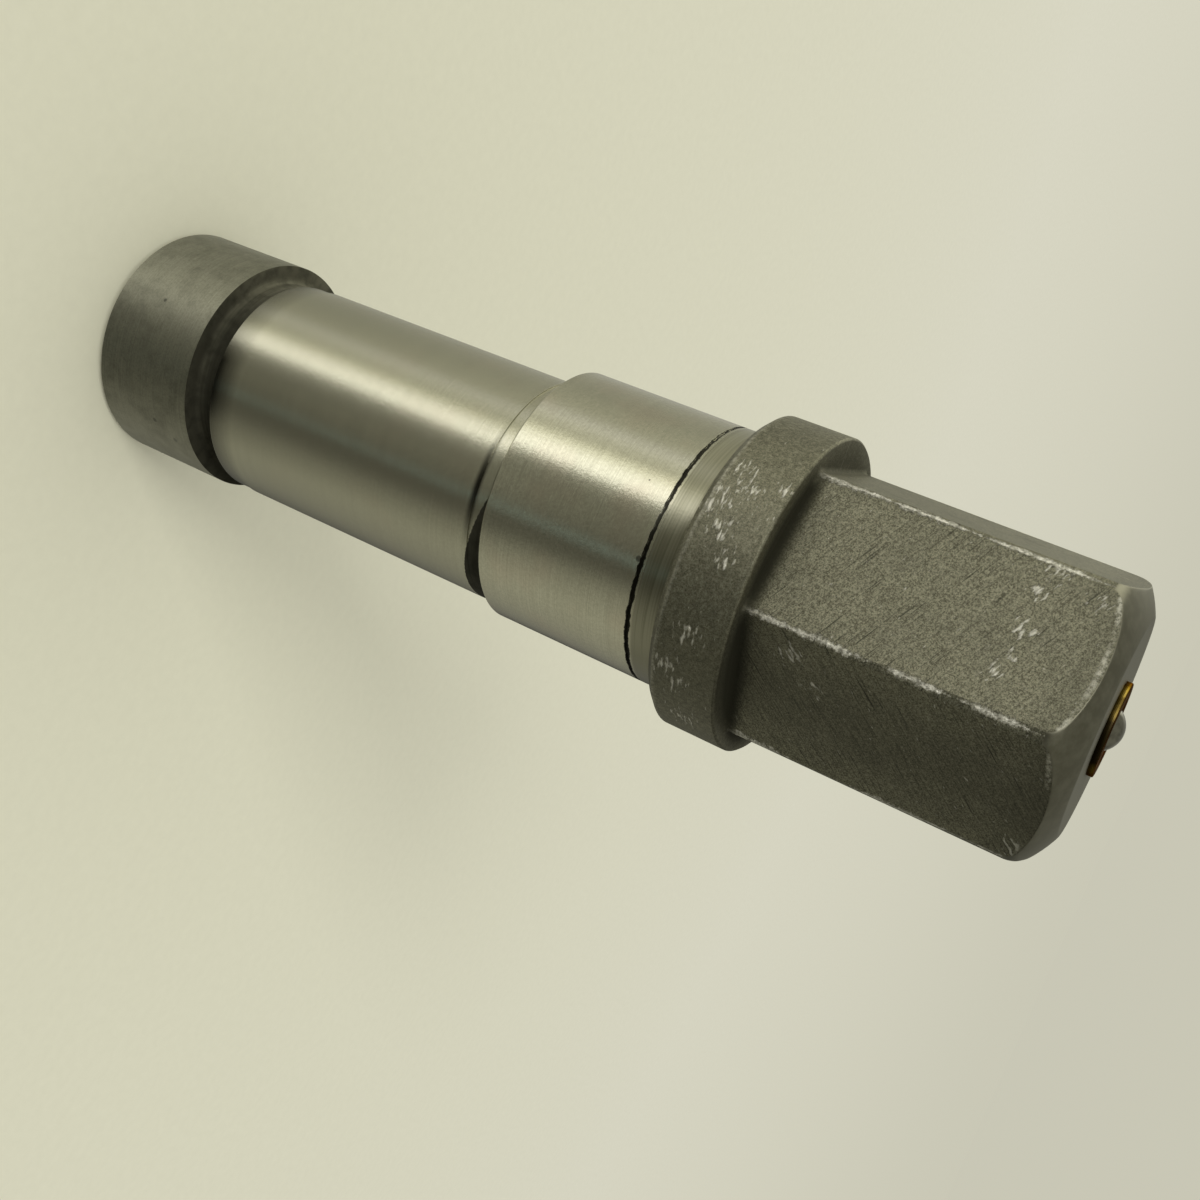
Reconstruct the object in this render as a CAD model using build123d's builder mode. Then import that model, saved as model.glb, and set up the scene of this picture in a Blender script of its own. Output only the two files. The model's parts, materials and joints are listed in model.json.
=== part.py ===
from build123d import *
from math import asin, degrees, radians, sqrt, tan
import os

# Stepped drive shaft with a ball plunger pressed into the end of its hexagon.
#
# The shaft is one piece of steel: a head collar, a small ground journal, a large ground
# journal, a flange and a hexagon with turned corners. The small journal is ground off
# centre, by about half a millimetre.
# The shaft stands on its head collar. +Z runs up the turning axis, the origin is the
# centre of the collar's end face, and two flats of the hexagon face -Y and +Y.
# All sizes are in millimetres.

# ---- head collar, the undercut behind it and the centre hole in its end
HEAD_DIAMETER = 26.1
HEAD_LENGTH = 13.5
HEAD_END_CHAMFER = 0.6
HEAD_SHOULDER_CHAMFER = 0.15
UNDERCUT_DIAMETER = 22.2
UNDERCUT_WIDTH = 2.7
UNDERCUT_CORNER_RADIUS = 0.8
CENTRE_HOLE_DIAMETER = 5.0
CENTRE_HOLE_ANGLE = 60
CENTRE_PILOT_DIAMETER = 2.0
CENTRE_PILOT_LENGTH = 2.0

# ---- small journal, ground about an axis that stands off the turning axis along +X
SMALL_JOURNAL_DIAMETER = 24.05
SMALL_JOURNAL_THROW = 0.53
SMALL_JOURNAL_LENGTH = 32.3
SMALL_JOURNAL_CHAMFER = 0.25
RELIEF_DEPTH = 0.12
HEAD_RELIEF_WIDTH = 2.7
NECK_RELIEF_WIDTH = 2.0

# ---- neck turned beside the large journal, on the turning axis
NECK_DIAMETER = 24.5
NECK_FLOOR_WIDTH = 0.4
NECK_FLANK_ANGLE = 7

# ---- large journal, the parting line at its end, the seat ring and the flange
LARGE_JOURNAL_DIAMETER = 26.9
LARGE_JOURNAL_LENGTH = 17.0
LARGE_JOURNAL_CHAMFER = 0.2
LINE_GROOVE_WIDTH = 0.35
LINE_GROOVE_DEPTH = 0.2
SEAT_RING_LENGTH = 3.4
FLANGE_DIAMETER = 32.1
FLANGE_WIDTH = 7.2
FLANGE_BACK_CHAMFER = 0.7
FLANGE_FRONT_CHAMFER = 0.2

# ---- hexagon: flats milled on a slightly tapered blank that has a coned end
HEX_SIDES = 6
HEX_ACROSS_FLATS = 25.4
HEX_LENGTH = 30.1
HEX_FOOT_FILLET = 0.5
CORNER_STEP = 1.45
CORNER_TAPER = 0.25
CONE_LENGTH = 2.5
CONE_EDGE_RADIUS = 1.6
END_FACE_DIAMETER = 20.8
END_FACE_RADIUS = 0.3

# ---- ball plunger: brass sleeve, steel ball and compression spring
SLEEVE_DIAMETER = 8.0
SLEEVE_LENGTH = 12.5
SLEEVE_FLOOR = 1.0
SLEEVE_CHAMFER = 0.3
COLLAR_DIAMETER = 8.9
COLLAR_THICKNESS = 0.55
BALL_DIAMETER = 4.76
BALL_STAND_OUT = 0.95
BALL_CLEARANCE = 0.08
SPRING_WIRE_DIAMETER = 0.6
SPRING_OUTER_DIAMETER = 4.3
SPRING_WIRE_SIDES = 6
SPRING_TURNS = 5
SPRING_CLEARANCE = 0.03
BORE_SPARE_DEPTH = 0.6
DRILL_POINT_ANGLE = 118


def cone_length(diameter, angle):
    """Length of a cone with that base and that angle between its sides."""
    return diameter / 2 / tan(radians(angle / 2))


# ---- heights up the shaft
head_top = HEAD_LENGTH
undercut_top = head_top + UNDERCUT_WIDTH
ground_start = undercut_top + HEAD_RELIEF_WIDTH
ground_end = ground_start + SMALL_JOURNAL_LENGTH
shoulder = ground_end + NECK_RELIEF_WIDTH
line_groove = shoulder + LARGE_JOURNAL_LENGTH
seat_ring = line_groove + LINE_GROOVE_WIDTH
flange_back = seat_ring + SEAT_RING_LENGTH
flange_front = flange_back + FLANGE_WIDTH
end_face = flange_front + HEX_LENGTH
cone_start = end_face - CONE_LENGTH

# ---- radii of the turned lengths
head_radius = HEAD_DIAMETER / 2
undercut_radius = UNDERCUT_DIAMETER / 2
small_radius = SMALL_JOURNAL_DIAMETER / 2
relief_radius = small_radius - RELIEF_DEPTH
neck_radius = NECK_DIAMETER / 2
large_radius = LARGE_JOURNAL_DIAMETER / 2
flange_radius = FLANGE_DIAMETER / 2

# ---- the hexagon's corners are turned a step below the flange, and taper to the end;
# the fillet at its foot stays well inside the corners
flat_distance = HEX_ACROSS_FLATS / 2
corner_radius = flange_radius - CORNER_STEP
corner_end_radius = corner_radius - CORNER_TAPER
foot_fillet = min(HEX_FOOT_FILLET, (corner_radius - flat_distance) / 2)

# ---- the neck's flank runs out to the large journal's diameter
neck_flank_length = (large_radius - neck_radius) / tan(radians(NECK_FLANK_ANGLE))
neck_end = shoulder - NECK_FLOOR_WIDTH - neck_flank_length

# ---- plunger: the ball rests just under the sleeve's lip and stands out of the collar
ball_radius = BALL_DIAMETER / 2
cage_radius = ball_radius + BALL_CLEARANCE
collar_face = end_face + COLLAR_THICKNESS
ball_centre = collar_face + BALL_STAND_OUT - ball_radius
lip_angle = degrees(asin((collar_face - ball_centre) / cage_radius))
sleeve_bottom = end_face - SLEEVE_LENGTH
sleeve_floor = sleeve_bottom + SLEEVE_FLOOR
bore_floor = sleeve_bottom - BORE_SPARE_DEPTH

# ---- ends of the two drilled holes
bore_point = bore_floor - cone_length(SLEEVE_DIAMETER, DRILL_POINT_ANGLE)
centre_cone = cone_length(CENTRE_HOLE_DIAMETER - CENTRE_PILOT_DIAMETER, CENTRE_HOLE_ANGLE)
pilot_floor = centre_cone + CENTRE_PILOT_LENGTH
pilot_point = pilot_floor + cone_length(CENTRE_PILOT_DIAMETER, DRILL_POINT_ANGLE)

# ---- spring: its first turn lies on the sleeve's floor, its last touches the ball
wire_radius = SPRING_WIRE_DIAMETER / 2
coil_radius = SPRING_OUTER_DIAMETER / 2 - wire_radius
coil_start = sleeve_floor + wire_radius + SPRING_CLEARANCE
wire_to_ball = ball_radius + wire_radius + SPRING_CLEARANCE
spring_height = ball_centre - sqrt(wire_to_ball**2 - coil_radius**2) - coil_start


def at(sketch, radius, height):
    """The sketch's corner at that radius and height."""
    return sketch.vertices().sort_by_distance((radius, height))[0]


with BuildPart() as shaft:
    # hexagon: flats as wide as they are milled, then cut back to the turned blank,
    # which has slightly tapered corners and a coned end
    with BuildSketch(Plane.XY.offset(flange_front)):
        RegularPolygon(flat_distance, HEX_SIDES, major_radius=False)
    extrude(amount=HEX_LENGTH)
    with BuildSketch(Plane.XZ) as blank:
        with BuildLine():
            Polyline(
                (0, flange_front),
                (corner_radius, flange_front),
                (corner_end_radius, cone_start),
                (END_FACE_DIAMETER / 2, end_face),
                (0, end_face),
                close=True,
            )
        make_face()
        fillet(at(blank, corner_end_radius, cone_start), CONE_EDGE_RADIUS)
        fillet(at(blank, END_FACE_DIAMETER / 2, end_face), END_FACE_RADIUS)
    revolve(axis=Axis.Z, mode=Mode.INTERSECT)

    # head collar, core, large journal and flange, turned in one setting
    with BuildSketch(Plane.XZ) as turned:
        with BuildLine():
            Polyline(
                (0, 0),
                (head_radius, 0),
                (head_radius, head_top),
                (undercut_radius, head_top),
                (undercut_radius, shoulder),
                (large_radius, shoulder),
                (large_radius, line_groove),
                (large_radius - LINE_GROOVE_DEPTH, line_groove),
                (large_radius - LINE_GROOVE_DEPTH, seat_ring),
                (large_radius, seat_ring),
                (large_radius, flange_back),
                (flange_radius, flange_back),
                (flange_radius, flange_front),
                (0, flange_front),
                close=True,
            )
        make_face()
        chamfer(at(turned, head_radius, 0), HEAD_END_CHAMFER)
        chamfer(at(turned, head_radius, head_top), HEAD_SHOULDER_CHAMFER)
        fillet(at(turned, undercut_radius, head_top), UNDERCUT_CORNER_RADIUS)
        chamfer(at(turned, large_radius, shoulder), LARGE_JOURNAL_CHAMFER)
        chamfer(at(turned, flange_radius, flange_back), FLANGE_BACK_CHAMFER)
        chamfer(at(turned, flange_radius, flange_front), FLANGE_FRONT_CHAMFER)
    revolve(axis=Axis.Z)

    # small fillet where the hexagon stands on the flange
    foot = shaft.edges().filter_by_position(Axis.Z, flange_front, flange_front)
    fillet(foot.sort_by_distance((0, 0, flange_front))[:HEX_SIDES], foot_fillet)

    # small journal, ground about its own axis, with a shallow relief at both ends
    with BuildSketch(Plane(origin=(SMALL_JOURNAL_THROW, 0, 0), x_dir=(1, 0, 0), z_dir=(0, -1, 0))) as small:
        with BuildLine():
            Polyline(
                (0, undercut_top),
                (relief_radius, undercut_top),
                (relief_radius, ground_start),
                (small_radius, ground_start),
                (small_radius, ground_end),
                (relief_radius, ground_end),
                (relief_radius, shoulder),
                (0, shoulder),
                close=True,
            )
        make_face()
        chamfer(at(small, relief_radius, undercut_top), SMALL_JOURNAL_CHAMFER)
    revolve(axis=Axis((SMALL_JOURNAL_THROW, 0, 0), (0, 0, 1)))

    # neck turned on the main axis: it only reaches the journal's high side
    with BuildSketch(Plane.XZ):
        with BuildLine():
            Polyline(
                (neck_radius, shoulder),
                (neck_radius, shoulder - NECK_FLOOR_WIDTH),
                (large_radius, neck_end),
                (large_radius, shoulder),
                close=True,
            )
        make_face()
    revolve(axis=Axis.Z, mode=Mode.SUBTRACT)

    # bore for the plunger, with the drill's point below it
    with BuildSketch(Plane.XZ):
        with BuildLine():
            Polyline(
                (0, bore_point),
                (SLEEVE_DIAMETER / 2, bore_floor),
                (SLEEVE_DIAMETER / 2, end_face),
                (0, end_face),
                close=True,
            )
        make_face()
    revolve(axis=Axis.Z, mode=Mode.SUBTRACT)

    # centre hole that the shaft was turned and ground on
    with BuildSketch(Plane.XZ):
        with BuildLine():
            Polyline(
                (0, 0),
                (CENTRE_HOLE_DIAMETER / 2, 0),
                (CENTRE_PILOT_DIAMETER / 2, centre_cone),
                (CENTRE_PILOT_DIAMETER / 2, pilot_floor),
                (0, pilot_point),
                close=True,
            )
        make_face()
    revolve(axis=Axis.Z, mode=Mode.SUBTRACT)

with BuildPart() as plunger_body:
    # brass sleeve: the collar seats on the end face, its lip curls in over the ball
    with BuildSketch(Plane.XZ) as sleeve:
        with BuildLine():
            lip = CenterArc((0, ball_centre), cage_radius, 0, lip_angle)
            Polyline(
                lip @ 1,
                (COLLAR_DIAMETER / 2, collar_face),
                (COLLAR_DIAMETER / 2, end_face),
                (SLEEVE_DIAMETER / 2, end_face),
                (SLEEVE_DIAMETER / 2, sleeve_bottom),
                (0, sleeve_bottom),
                (0, sleeve_floor),
                (cage_radius, sleeve_floor),
                lip @ 0,
            )
        make_face()
        chamfer(at(sleeve, SLEEVE_DIAMETER / 2, sleeve_bottom), SLEEVE_CHAMFER)
    revolve(axis=Axis.Z)

with BuildPart() as plunger_ball:
    with Locations((0, 0, ball_centre)):
        Sphere(ball_radius)

with BuildPart() as plunger_spring:
    # helical spring between the sleeve's floor and the underside of the ball, its wire
    # drawn with flats to keep it light
    with BuildLine():
        coil = Helix(spring_height / SPRING_TURNS, spring_height, coil_radius, center=(0, 0, coil_start))
    with BuildSketch(Plane(origin=coil @ 0, z_dir=coil % 0)):
        RegularPolygon(wire_radius, SPRING_WIRE_SIDES)
    sweep(is_frenet=True)

shaft.part.label = "shaft"
plunger_body.part.label = "plunger_body"
plunger_ball.part.label = "plunger_ball"
plunger_spring.part.label = "plunger_spring"

os.makedirs("parts", exist_ok=True)
export_step(shaft.part, "parts/shaft.step")
export_step(plunger_body.part, "parts/plunger_body.step")
export_step(plunger_ball.part, "parts/plunger_ball.step")
export_step(plunger_spring.part, "parts/plunger_spring.step")
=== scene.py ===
import json
from math import asin, atan2, cos, degrees, pi, radians, sin, tan

import bmesh
import bpy
from mathutils import Matrix, Vector


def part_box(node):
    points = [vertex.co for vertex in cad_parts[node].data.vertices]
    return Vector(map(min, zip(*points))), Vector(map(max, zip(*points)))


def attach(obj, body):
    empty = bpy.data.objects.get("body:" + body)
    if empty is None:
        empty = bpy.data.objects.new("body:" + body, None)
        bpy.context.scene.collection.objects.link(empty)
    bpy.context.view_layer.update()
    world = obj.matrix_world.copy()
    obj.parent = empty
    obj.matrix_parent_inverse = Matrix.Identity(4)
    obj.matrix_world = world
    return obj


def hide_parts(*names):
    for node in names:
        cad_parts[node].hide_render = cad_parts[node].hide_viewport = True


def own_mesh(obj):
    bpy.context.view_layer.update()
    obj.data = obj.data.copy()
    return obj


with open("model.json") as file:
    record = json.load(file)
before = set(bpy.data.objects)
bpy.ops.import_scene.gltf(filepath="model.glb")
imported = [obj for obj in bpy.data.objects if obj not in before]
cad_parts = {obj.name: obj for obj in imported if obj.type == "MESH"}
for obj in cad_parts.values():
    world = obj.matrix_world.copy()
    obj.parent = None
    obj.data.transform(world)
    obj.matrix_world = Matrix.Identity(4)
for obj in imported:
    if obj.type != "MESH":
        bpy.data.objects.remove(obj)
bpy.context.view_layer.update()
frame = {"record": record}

# ----------------------------------------
# The shaft's body: one bar of medium-carbon steel. Head collar, journals, seat ring and
# flange are turned; the small journal is ground half a millimetre off centre; the hexagon
# is milled on a turned blank and filed. It stands on its head collar, +Z up its axis.

# Sizes are in millimetres, and MM turns them to metres.
MM = 0.001
CLOSE = 0.001
MERGE = 1e-5
ON_PLANE = 1e-6
SHORTEST = 0.01
COLUMNS = 360

HEAD_RADIUS = 13.05
HEAD_TOP = 13.5
HEAD_END_CHAMFER = 0.6
UNDERCUT_RADIUS = 11.1
UNDERCUT_TOP = 16.2
UNDERCUT_CORNER = 0.8
UNDERCUT_STEPS = 6
CENTRE_RADIUS = 2.5
CENTRE_SLOPE = radians(30)
PILOT_RADIUS = 1.0
PILOT_LENGTH = 2.0
DRILL_SLOPE = radians(59)

RELIEF_DEPTH = 0.12
RELIEF_CHAMFER = 0.25
GROUND_START = 18.9
GROUND_END = 51.2
SHOULDER = 53.2
SHOULDER_CHAMFER = 0.2
STEP_SLOPE = 0.03

NECK_RADIUS = 12.25
NECK_FLOOR = 0.4
NECK_FLANK = radians(7)
NECK_REACH = 3.2
NECK_ROWS = 24
NECK_EDGE = 0.02

LINE_START = 70.2
LINE_END = 70.55
LINE_DEPTH = 0.2
FLANGE_BACK = 73.95
FLANGE_FRONT = 81.15
BACK_CHAMFER = 0.7
FRONT_CHAMFER = 0.2

FLAT_DISTANCE = 12.7
FIRST_FLAT = radians(-90)
SIDES = 6
FLAT_TURN = 2 * pi / SIDES
FACING = 0.999
# How the file's strokes lie on each flat, and how far apart the flats are in the UV map.
FILE_ANGLES = [radians(angle) for angle in (-25, 40, -15, 30, -38, 84)]
FLAT_SPACING = 60
FOOT_FILLET = 0.5
FOOT_STEPS = 5
CORNER_RADIUS = 14.6
CORNER_END_RADIUS = 14.35
CONE_LENGTH = 2.5
CONE_ROUND = 1.6
CONE_ROUND_STEPS = 8
CONE_BULGE = 0.22
CONE_SHARES = (0.3, 0.45, 0.6, 0.75, 0.88)
END_RADIUS = 10.4
END_ROUND = 0.8
END_ROUND_STEPS = 4
BORE_RADIUS = 4.0
BORE_DEPTH = 13.1

SHARP = radians(22)
EDGE_BREAK = 0.06
EDGE_STEPS = 2
LARGE_FACES_FIRST = 90
WORN_ROUND = 0.12
CONE_EDGE = 0.3

SATIN, UNGROUND, GROUND, BLASTED, CONED = range(5)

mounts = {mount["name"]: mount for mount in frame["record"]["mounts"]}
shaft_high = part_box("shaft")[1]
journal_throw = mounts["small_journal"]["pos_m"][0] / MM
large_radius = mounts["large_journal"]["dims"]["r_mm"]
small_radius = mounts["small_journal"]["dims"]["r_mm"]
relief_radius = small_radius - RELIEF_DEPTH
flange_radius = shaft_high.x / MM
end_face = shaft_high.z / MM
cone_start = end_face - CONE_LENGTH


def profile(points):
    """A bmesh with a chain of vertices through (radius, height) points, in millimetres."""
    bm = bmesh.new()
    chain = [bm.verts.new((radius, 0, height)) for radius, height in points]
    for lower, upper in zip(chain, chain[1:]):
        bm.edges.new((lower, upper))
    return bm


def corner_at(bm, radius, height):
    """The profile's vertex at that radius and height."""
    place = Vector((radius, 0, height))
    return min(bm.verts, key=lambda vert: (vert.co - place).length)


def round_corner(bm, radius, height, rounding, segments):
    """Rounds one corner of a profile to an arc of that radius."""
    corner = corner_at(bm, radius, height)
    one, two = [edge.other_vert(corner).co - corner.co for edge in corner.link_edges]
    offset = rounding / tan(one.angle(two) / 2)
    bmesh.ops.bevel(
        bm, geom=[corner], affect="VERTICES", offset=offset,
        segments=segments, profile=0.5, material=-1,
    )


def split(bm, lower, upper, rows):
    """Divides the profile's edge between two corners into more rows."""
    ends = {corner_at(bm, *lower), corner_at(bm, *upper)}
    edge = next(edge for edge in bm.edges if set(edge.verts) == ends)
    bmesh.ops.subdivide_edges(bm, edges=[edge], cuts=rows)


def turn(bm, columns=COLUMNS):
    """Turns a profile into a body of revolution about Z and closes its poles."""
    bmesh.ops.spin(
        bm, geom=bm.verts[:] + bm.edges[:], cent=(0, 0, 0), axis=(0, 0, 1),
        angle=2 * pi, steps=columns, use_merge=True, use_duplicate=False,
    )
    bmesh.ops.remove_doubles(bm, verts=bm.verts, dist=MERGE)


def radius_of(point):
    """Distance from the turning axis."""
    return point.xy.length


def turned_lengths():
    """Everything from the centre hole up to the flange, turned in one profile."""
    centre_cone = (CENTRE_RADIUS - PILOT_RADIUS) / tan(CENTRE_SLOPE)
    pilot_floor = centre_cone + PILOT_LENGTH
    low_ground = (small_radius, GROUND_END - NECK_REACH / 2)
    points = [
        (0, pilot_floor + PILOT_RADIUS / tan(DRILL_SLOPE)),
        (PILOT_RADIUS, pilot_floor),
        (PILOT_RADIUS, centre_cone),
        (CENTRE_RADIUS, 0),
        (HEAD_RADIUS - HEAD_END_CHAMFER, 0),
        (HEAD_RADIUS, HEAD_END_CHAMFER),
        (HEAD_RADIUS, HEAD_TOP),
        (UNDERCUT_RADIUS, HEAD_TOP),
        (UNDERCUT_RADIUS, UNDERCUT_TOP),
        (relief_radius - RELIEF_CHAMFER, UNDERCUT_TOP),
        (relief_radius, UNDERCUT_TOP + RELIEF_CHAMFER),
        (relief_radius, GROUND_START),
        (small_radius, GROUND_START + STEP_SLOPE),
        low_ground,
        (small_radius, GROUND_END - STEP_SLOPE),
        (relief_radius, GROUND_END),
        (relief_radius, SHOULDER),
        (large_radius - SHOULDER_CHAMFER, SHOULDER),
        (large_radius, SHOULDER + SHOULDER_CHAMFER),
        (large_radius, LINE_START),
        (large_radius - LINE_DEPTH, LINE_START),
        (large_radius - LINE_DEPTH, LINE_END),
        (large_radius, LINE_END),
        (large_radius, FLANGE_BACK),
        (flange_radius - BACK_CHAMFER, FLANGE_BACK),
        (flange_radius, FLANGE_BACK + BACK_CHAMFER),
        (flange_radius, FLANGE_FRONT - FRONT_CHAMFER),
        (flange_radius - FRONT_CHAMFER, FLANGE_FRONT),
    ]
    bm = profile(points)
    split(bm, low_ground, (small_radius, GROUND_END - STEP_SLOPE), NECK_ROWS)
    split(bm, (relief_radius, GROUND_END), (relief_radius, SHOULDER), NECK_ROWS)
    round_corner(bm, UNDERCUT_RADIUS, HEAD_TOP, UNDERCUT_CORNER, UNDERCUT_STEPS)
    turn(bm)
    return bm


def offset_journal(bm):
    """Moves the small journal off the turning axis."""
    low, high = UNDERCUT_TOP - CLOSE, SHOULDER + CLOSE
    least, most = relief_radius - 2 * RELIEF_CHAMFER, small_radius + CLOSE
    journal = [
        vert for vert in bm.verts if low < vert.co.z < high and least < radius_of(vert.co) <= most
    ]
    bmesh.ops.translate(bm, verts=journal, vec=(journal_throw, 0, 0))


def neck_radius(height):
    """The neck's radius: a narrow floor beside the shoulder, then a shallow flank."""
    rise = max(0, SHOULDER - NECK_FLOOR - height)
    return NECK_RADIUS + rise * tan(NECK_FLANK)


def turn_neck(bm):
    """Cuts the neck into the journal's high side."""
    for vert in bm.verts:
        if not SHOULDER - NECK_REACH - NECK_FLOOR < vert.co.z < SHOULDER + CLOSE:
            continue
        allowed = neck_radius(vert.co.z)
        if allowed < radius_of(vert.co) < large_radius - 2 * SHOULDER_CHAMFER:
            vert.co.xy *= allowed / radius_of(vert.co)


def hexagon_end():
    """The hexagon: a tapered, coned blank with six flats milled on it, and a bored end."""
    cone_foot = Vector((CORNER_END_RADIUS, cone_start))
    slope = Vector((END_RADIUS, end_face)) - cone_foot
    bulge = CONE_BULGE * Vector((slope.y, -slope.x)).normalized()
    cone = [
        cone_foot + share * slope + 4 * share * (1 - share) * bulge
        for share in CONE_SHARES
    ]
    bm = profile([
        (CORNER_RADIUS, FLANGE_FRONT + FOOT_FILLET),
        cone_foot,
        *cone,
        (END_RADIUS, end_face),
        (BORE_RADIUS, end_face),
        (BORE_RADIUS, end_face - BORE_DEPTH),
        (0, end_face - BORE_DEPTH - BORE_RADIUS / tan(DRILL_SLOPE)),
    ])
    round_corner(bm, CORNER_END_RADIUS, cone_start, CONE_ROUND, CONE_ROUND_STEPS)
    round_corner(bm, END_RADIUS, end_face, END_ROUND, END_ROUND_STEPS)
    turn(bm)
    for side in range(SIDES):
        azimuth = FIRST_FLAT + side * FLAT_TURN
        outward = Vector((cos(azimuth), sin(azimuth), 0))
        cut = bmesh.ops.bisect_plane(
            bm, geom=bm.verts[:] + bm.edges[:] + bm.faces[:], dist=ON_PLANE,
            plane_co=outward * FLAT_DISTANCE, plane_no=outward, clear_outer=True,
        )
        # The cut is open at its foot, where an edge between its two lowest corners closes it.
        rim = [edge for edge in cut["geom_cut"] if isinstance(edge, bmesh.types.BMEdge)]
        lowest = sorted({vert for edge in rim for vert in edge.verts}, key=lambda vert: vert.co.z)
        rim.append(bm.edges.new(lowest[:2]))
        bmesh.ops.contextual_create(bm, geom=rim)
    grow_foot(bm)
    return bm


def grow_foot(bm):
    """Runs the hexagon's open lower rim out into a small fillet on the flange's plane."""
    rim = [edge for edge in bm.edges if edge.is_boundary]
    out, down = 0, 0
    for step in range(1, FOOT_STEPS + 1):
        turned = step * pi / 2 / FOOT_STEPS
        made = bmesh.ops.extrude_edge_only(bm, edges=rim)["geom"]
        rim = [item for item in made if isinstance(item, bmesh.types.BMEdge)]
        verts = [item for item in made if isinstance(item, bmesh.types.BMVert)]
        next_out = FOOT_FILLET * (1 - cos(turned))
        next_down = FOOT_FILLET * sin(turned)
        growth = (FLAT_DISTANCE + next_out) / (FLAT_DISTANCE + out)
        bmesh.ops.scale(bm, verts=verts, vec=(growth, growth, 1))
        bmesh.ops.translate(bm, verts=verts, vec=(0, 0, down - next_down))
        out, down = next_out, next_down
        rim = [
            edge for edge in rim
            if edge.is_boundary and abs(edge.verts[0].co.z - edge.verts[1].co.z) < CLOSE
        ]


def add_to(bm, other):
    """Puts another bmesh's geometry into this one."""
    carrier = bpy.data.meshes.new("carrier")
    other.to_mesh(carrier)
    other.free()
    bm.from_mesh(carrier)
    bpy.data.meshes.remove(carrier)


def break_edges(bm):
    """Takes the sharpness off the sharp edges with a small round."""
    sharp = [
        edge for edge in bm.edges if len(edge.link_faces) == 2
        and edge.calc_face_angle(0) > SHARP and edge.calc_length() > SHORTEST
    ]
    bmesh.ops.bevel(
        bm, geom=sharp, affect="EDGES", offset=EDGE_BREAK, offset_type="OFFSET",
        segments=EDGE_STEPS, profile=0.5, clamp_overlap=True, material=-1,
    )


def shaft_zone(face):
    """Which finish a face of the shaft has, from where it lies."""
    centre = face.calc_center_median()
    height, radius = centre.z, radius_of(centre)
    foot = min(vert.co.z for vert in face.verts)
    if radius < BORE_RADIUS + CLOSE:
        return UNGROUND
    journal_side = small_radius + journal_throw * centre.x / radius
    below_edge = radius < large_radius - 2 * SHOULDER_CHAMFER
    in_neck = SHOULDER - NECK_REACH < height < SHOULDER - CLOSE and below_edge
    if height < HEAD_TOP - CLOSE:
        return SATIN
    if height < UNDERCUT_TOP + CLOSE or (in_neck and journal_side > neck_radius(height) + NECK_EDGE):
        return UNGROUND
    if height < FLANGE_BACK - CLOSE:
        return GROUND
    return CONED if foot > cone_start - CONE_ROUND else BLASTED


def unroll(bm):
    """A UV map in millimetres: U runs along the marks that the tool left, V across them."""
    layer = bm.loops.layers.uv.new("tool_marks")
    for face in bm.faces:
        centre = face.calc_center_median()
        middle = atan2(centre.y, centre.x)
        side = round((middle - FIRST_FLAT) / FLAT_TURN)
        azimuth = FIRST_FLAT + side * FLAT_TURN
        outward = Vector((cos(azimuth), sin(azimuth), 0))
        across = Vector((-sin(azimuth), cos(azimuth), 0))
        stroke = Vector((cos(FILE_ANGLES[side]), sin(FILE_ANGLES[side])))
        flat = centre.z > FLANGE_FRONT and face.normal.dot(outward) > FACING
        for loop in face.loops:
            place = loop.vert.co
            if flat:
                spot = Vector((place.dot(across), place.z))
                loop[layer].uv = (spot.dot(stroke) + side * FLAT_SPACING, spot.cross(stroke))
            else:
                turned = atan2(place.y, place.x)
                turned += 2 * pi * round((middle - turned) / (2 * pi))
                loop[layer].uv = (turned * large_radius, place.z)


def finish_mesh(bm, name, body, replaced):
    """Makes the bmesh a smooth-shaded piece in metres, in the place of a CAD node."""
    bmesh.ops.scale(bm, vec=(MM, MM, MM), verts=bm.verts)
    for face in bm.faces:
        face.smooth = True
    mesh = bpy.data.meshes.new(name)
    bm.to_mesh(mesh)
    bm.free()
    piece = bpy.data.objects.new(name, mesh)
    bpy.context.scene.collection.objects.link(piece)
    normals = piece.modifiers.new("even_normals", "WEIGHTED_NORMAL")
    normals.weight = LARGE_FACES_FIRST
    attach(piece, body)
    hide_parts(replaced)
    return piece


def linear(colour):
    """An sRGB hex colour as linear RGBA."""
    channels = []
    for start in (1, 3, 5):
        value = int(colour[start:start + 2], 16) / 255
        channels.append(value / 12.92 if value <= 0.04045 else ((value + 0.055) / 1.055) ** 2.4)
    return (*channels, 1)


def add(tree, kind, sockets=None, **settings):
    """Adds a node with its settings; each socket gets a value or the output that feeds it.

    Numbered sockets of MapRange: 0 is the value, 1 and 2 the range it comes from, 3 and 4 the
    range it goes to, from 0 to 1 unless given. Of MixRGB: 0 is the share of 2, laid over 1."""
    made = tree.nodes.new("ShaderNode" + kind)
    for name, value in settings.items():
        setattr(made, name, value)
    for name, value in (sockets or {}).items():
        if isinstance(value, bpy.types.Node):
            value = value.outputs[0]
        if isinstance(value, bpy.types.NodeSocket):
            tree.links.new(value, made.inputs[name])
        else:
            made.inputs[name].default_value = value
    return made


def finish(name, constants):
    """A new material of that name, with its shader's constant values set."""
    material = bpy.data.materials.new(name)
    material.use_nodes = True
    tree = material.node_tree
    shader = tree.nodes["Principled BSDF"]
    for socket, value in constants.items():
        shader.inputs[socket].default_value = value
    return material, tree


def feed(material, colour, roughness=None, normal=None):
    """Feeds the shader from those nodes, and hands the finished material back."""
    tree = material.node_tree
    inputs = tree.nodes["Principled BSDF"].inputs
    for socket, node in (("Base Color", colour), ("Roughness", roughness), ("Normal", normal)):
        if node:
            tree.links.new(node.outputs[0], inputs[socket])
    return material


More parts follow.
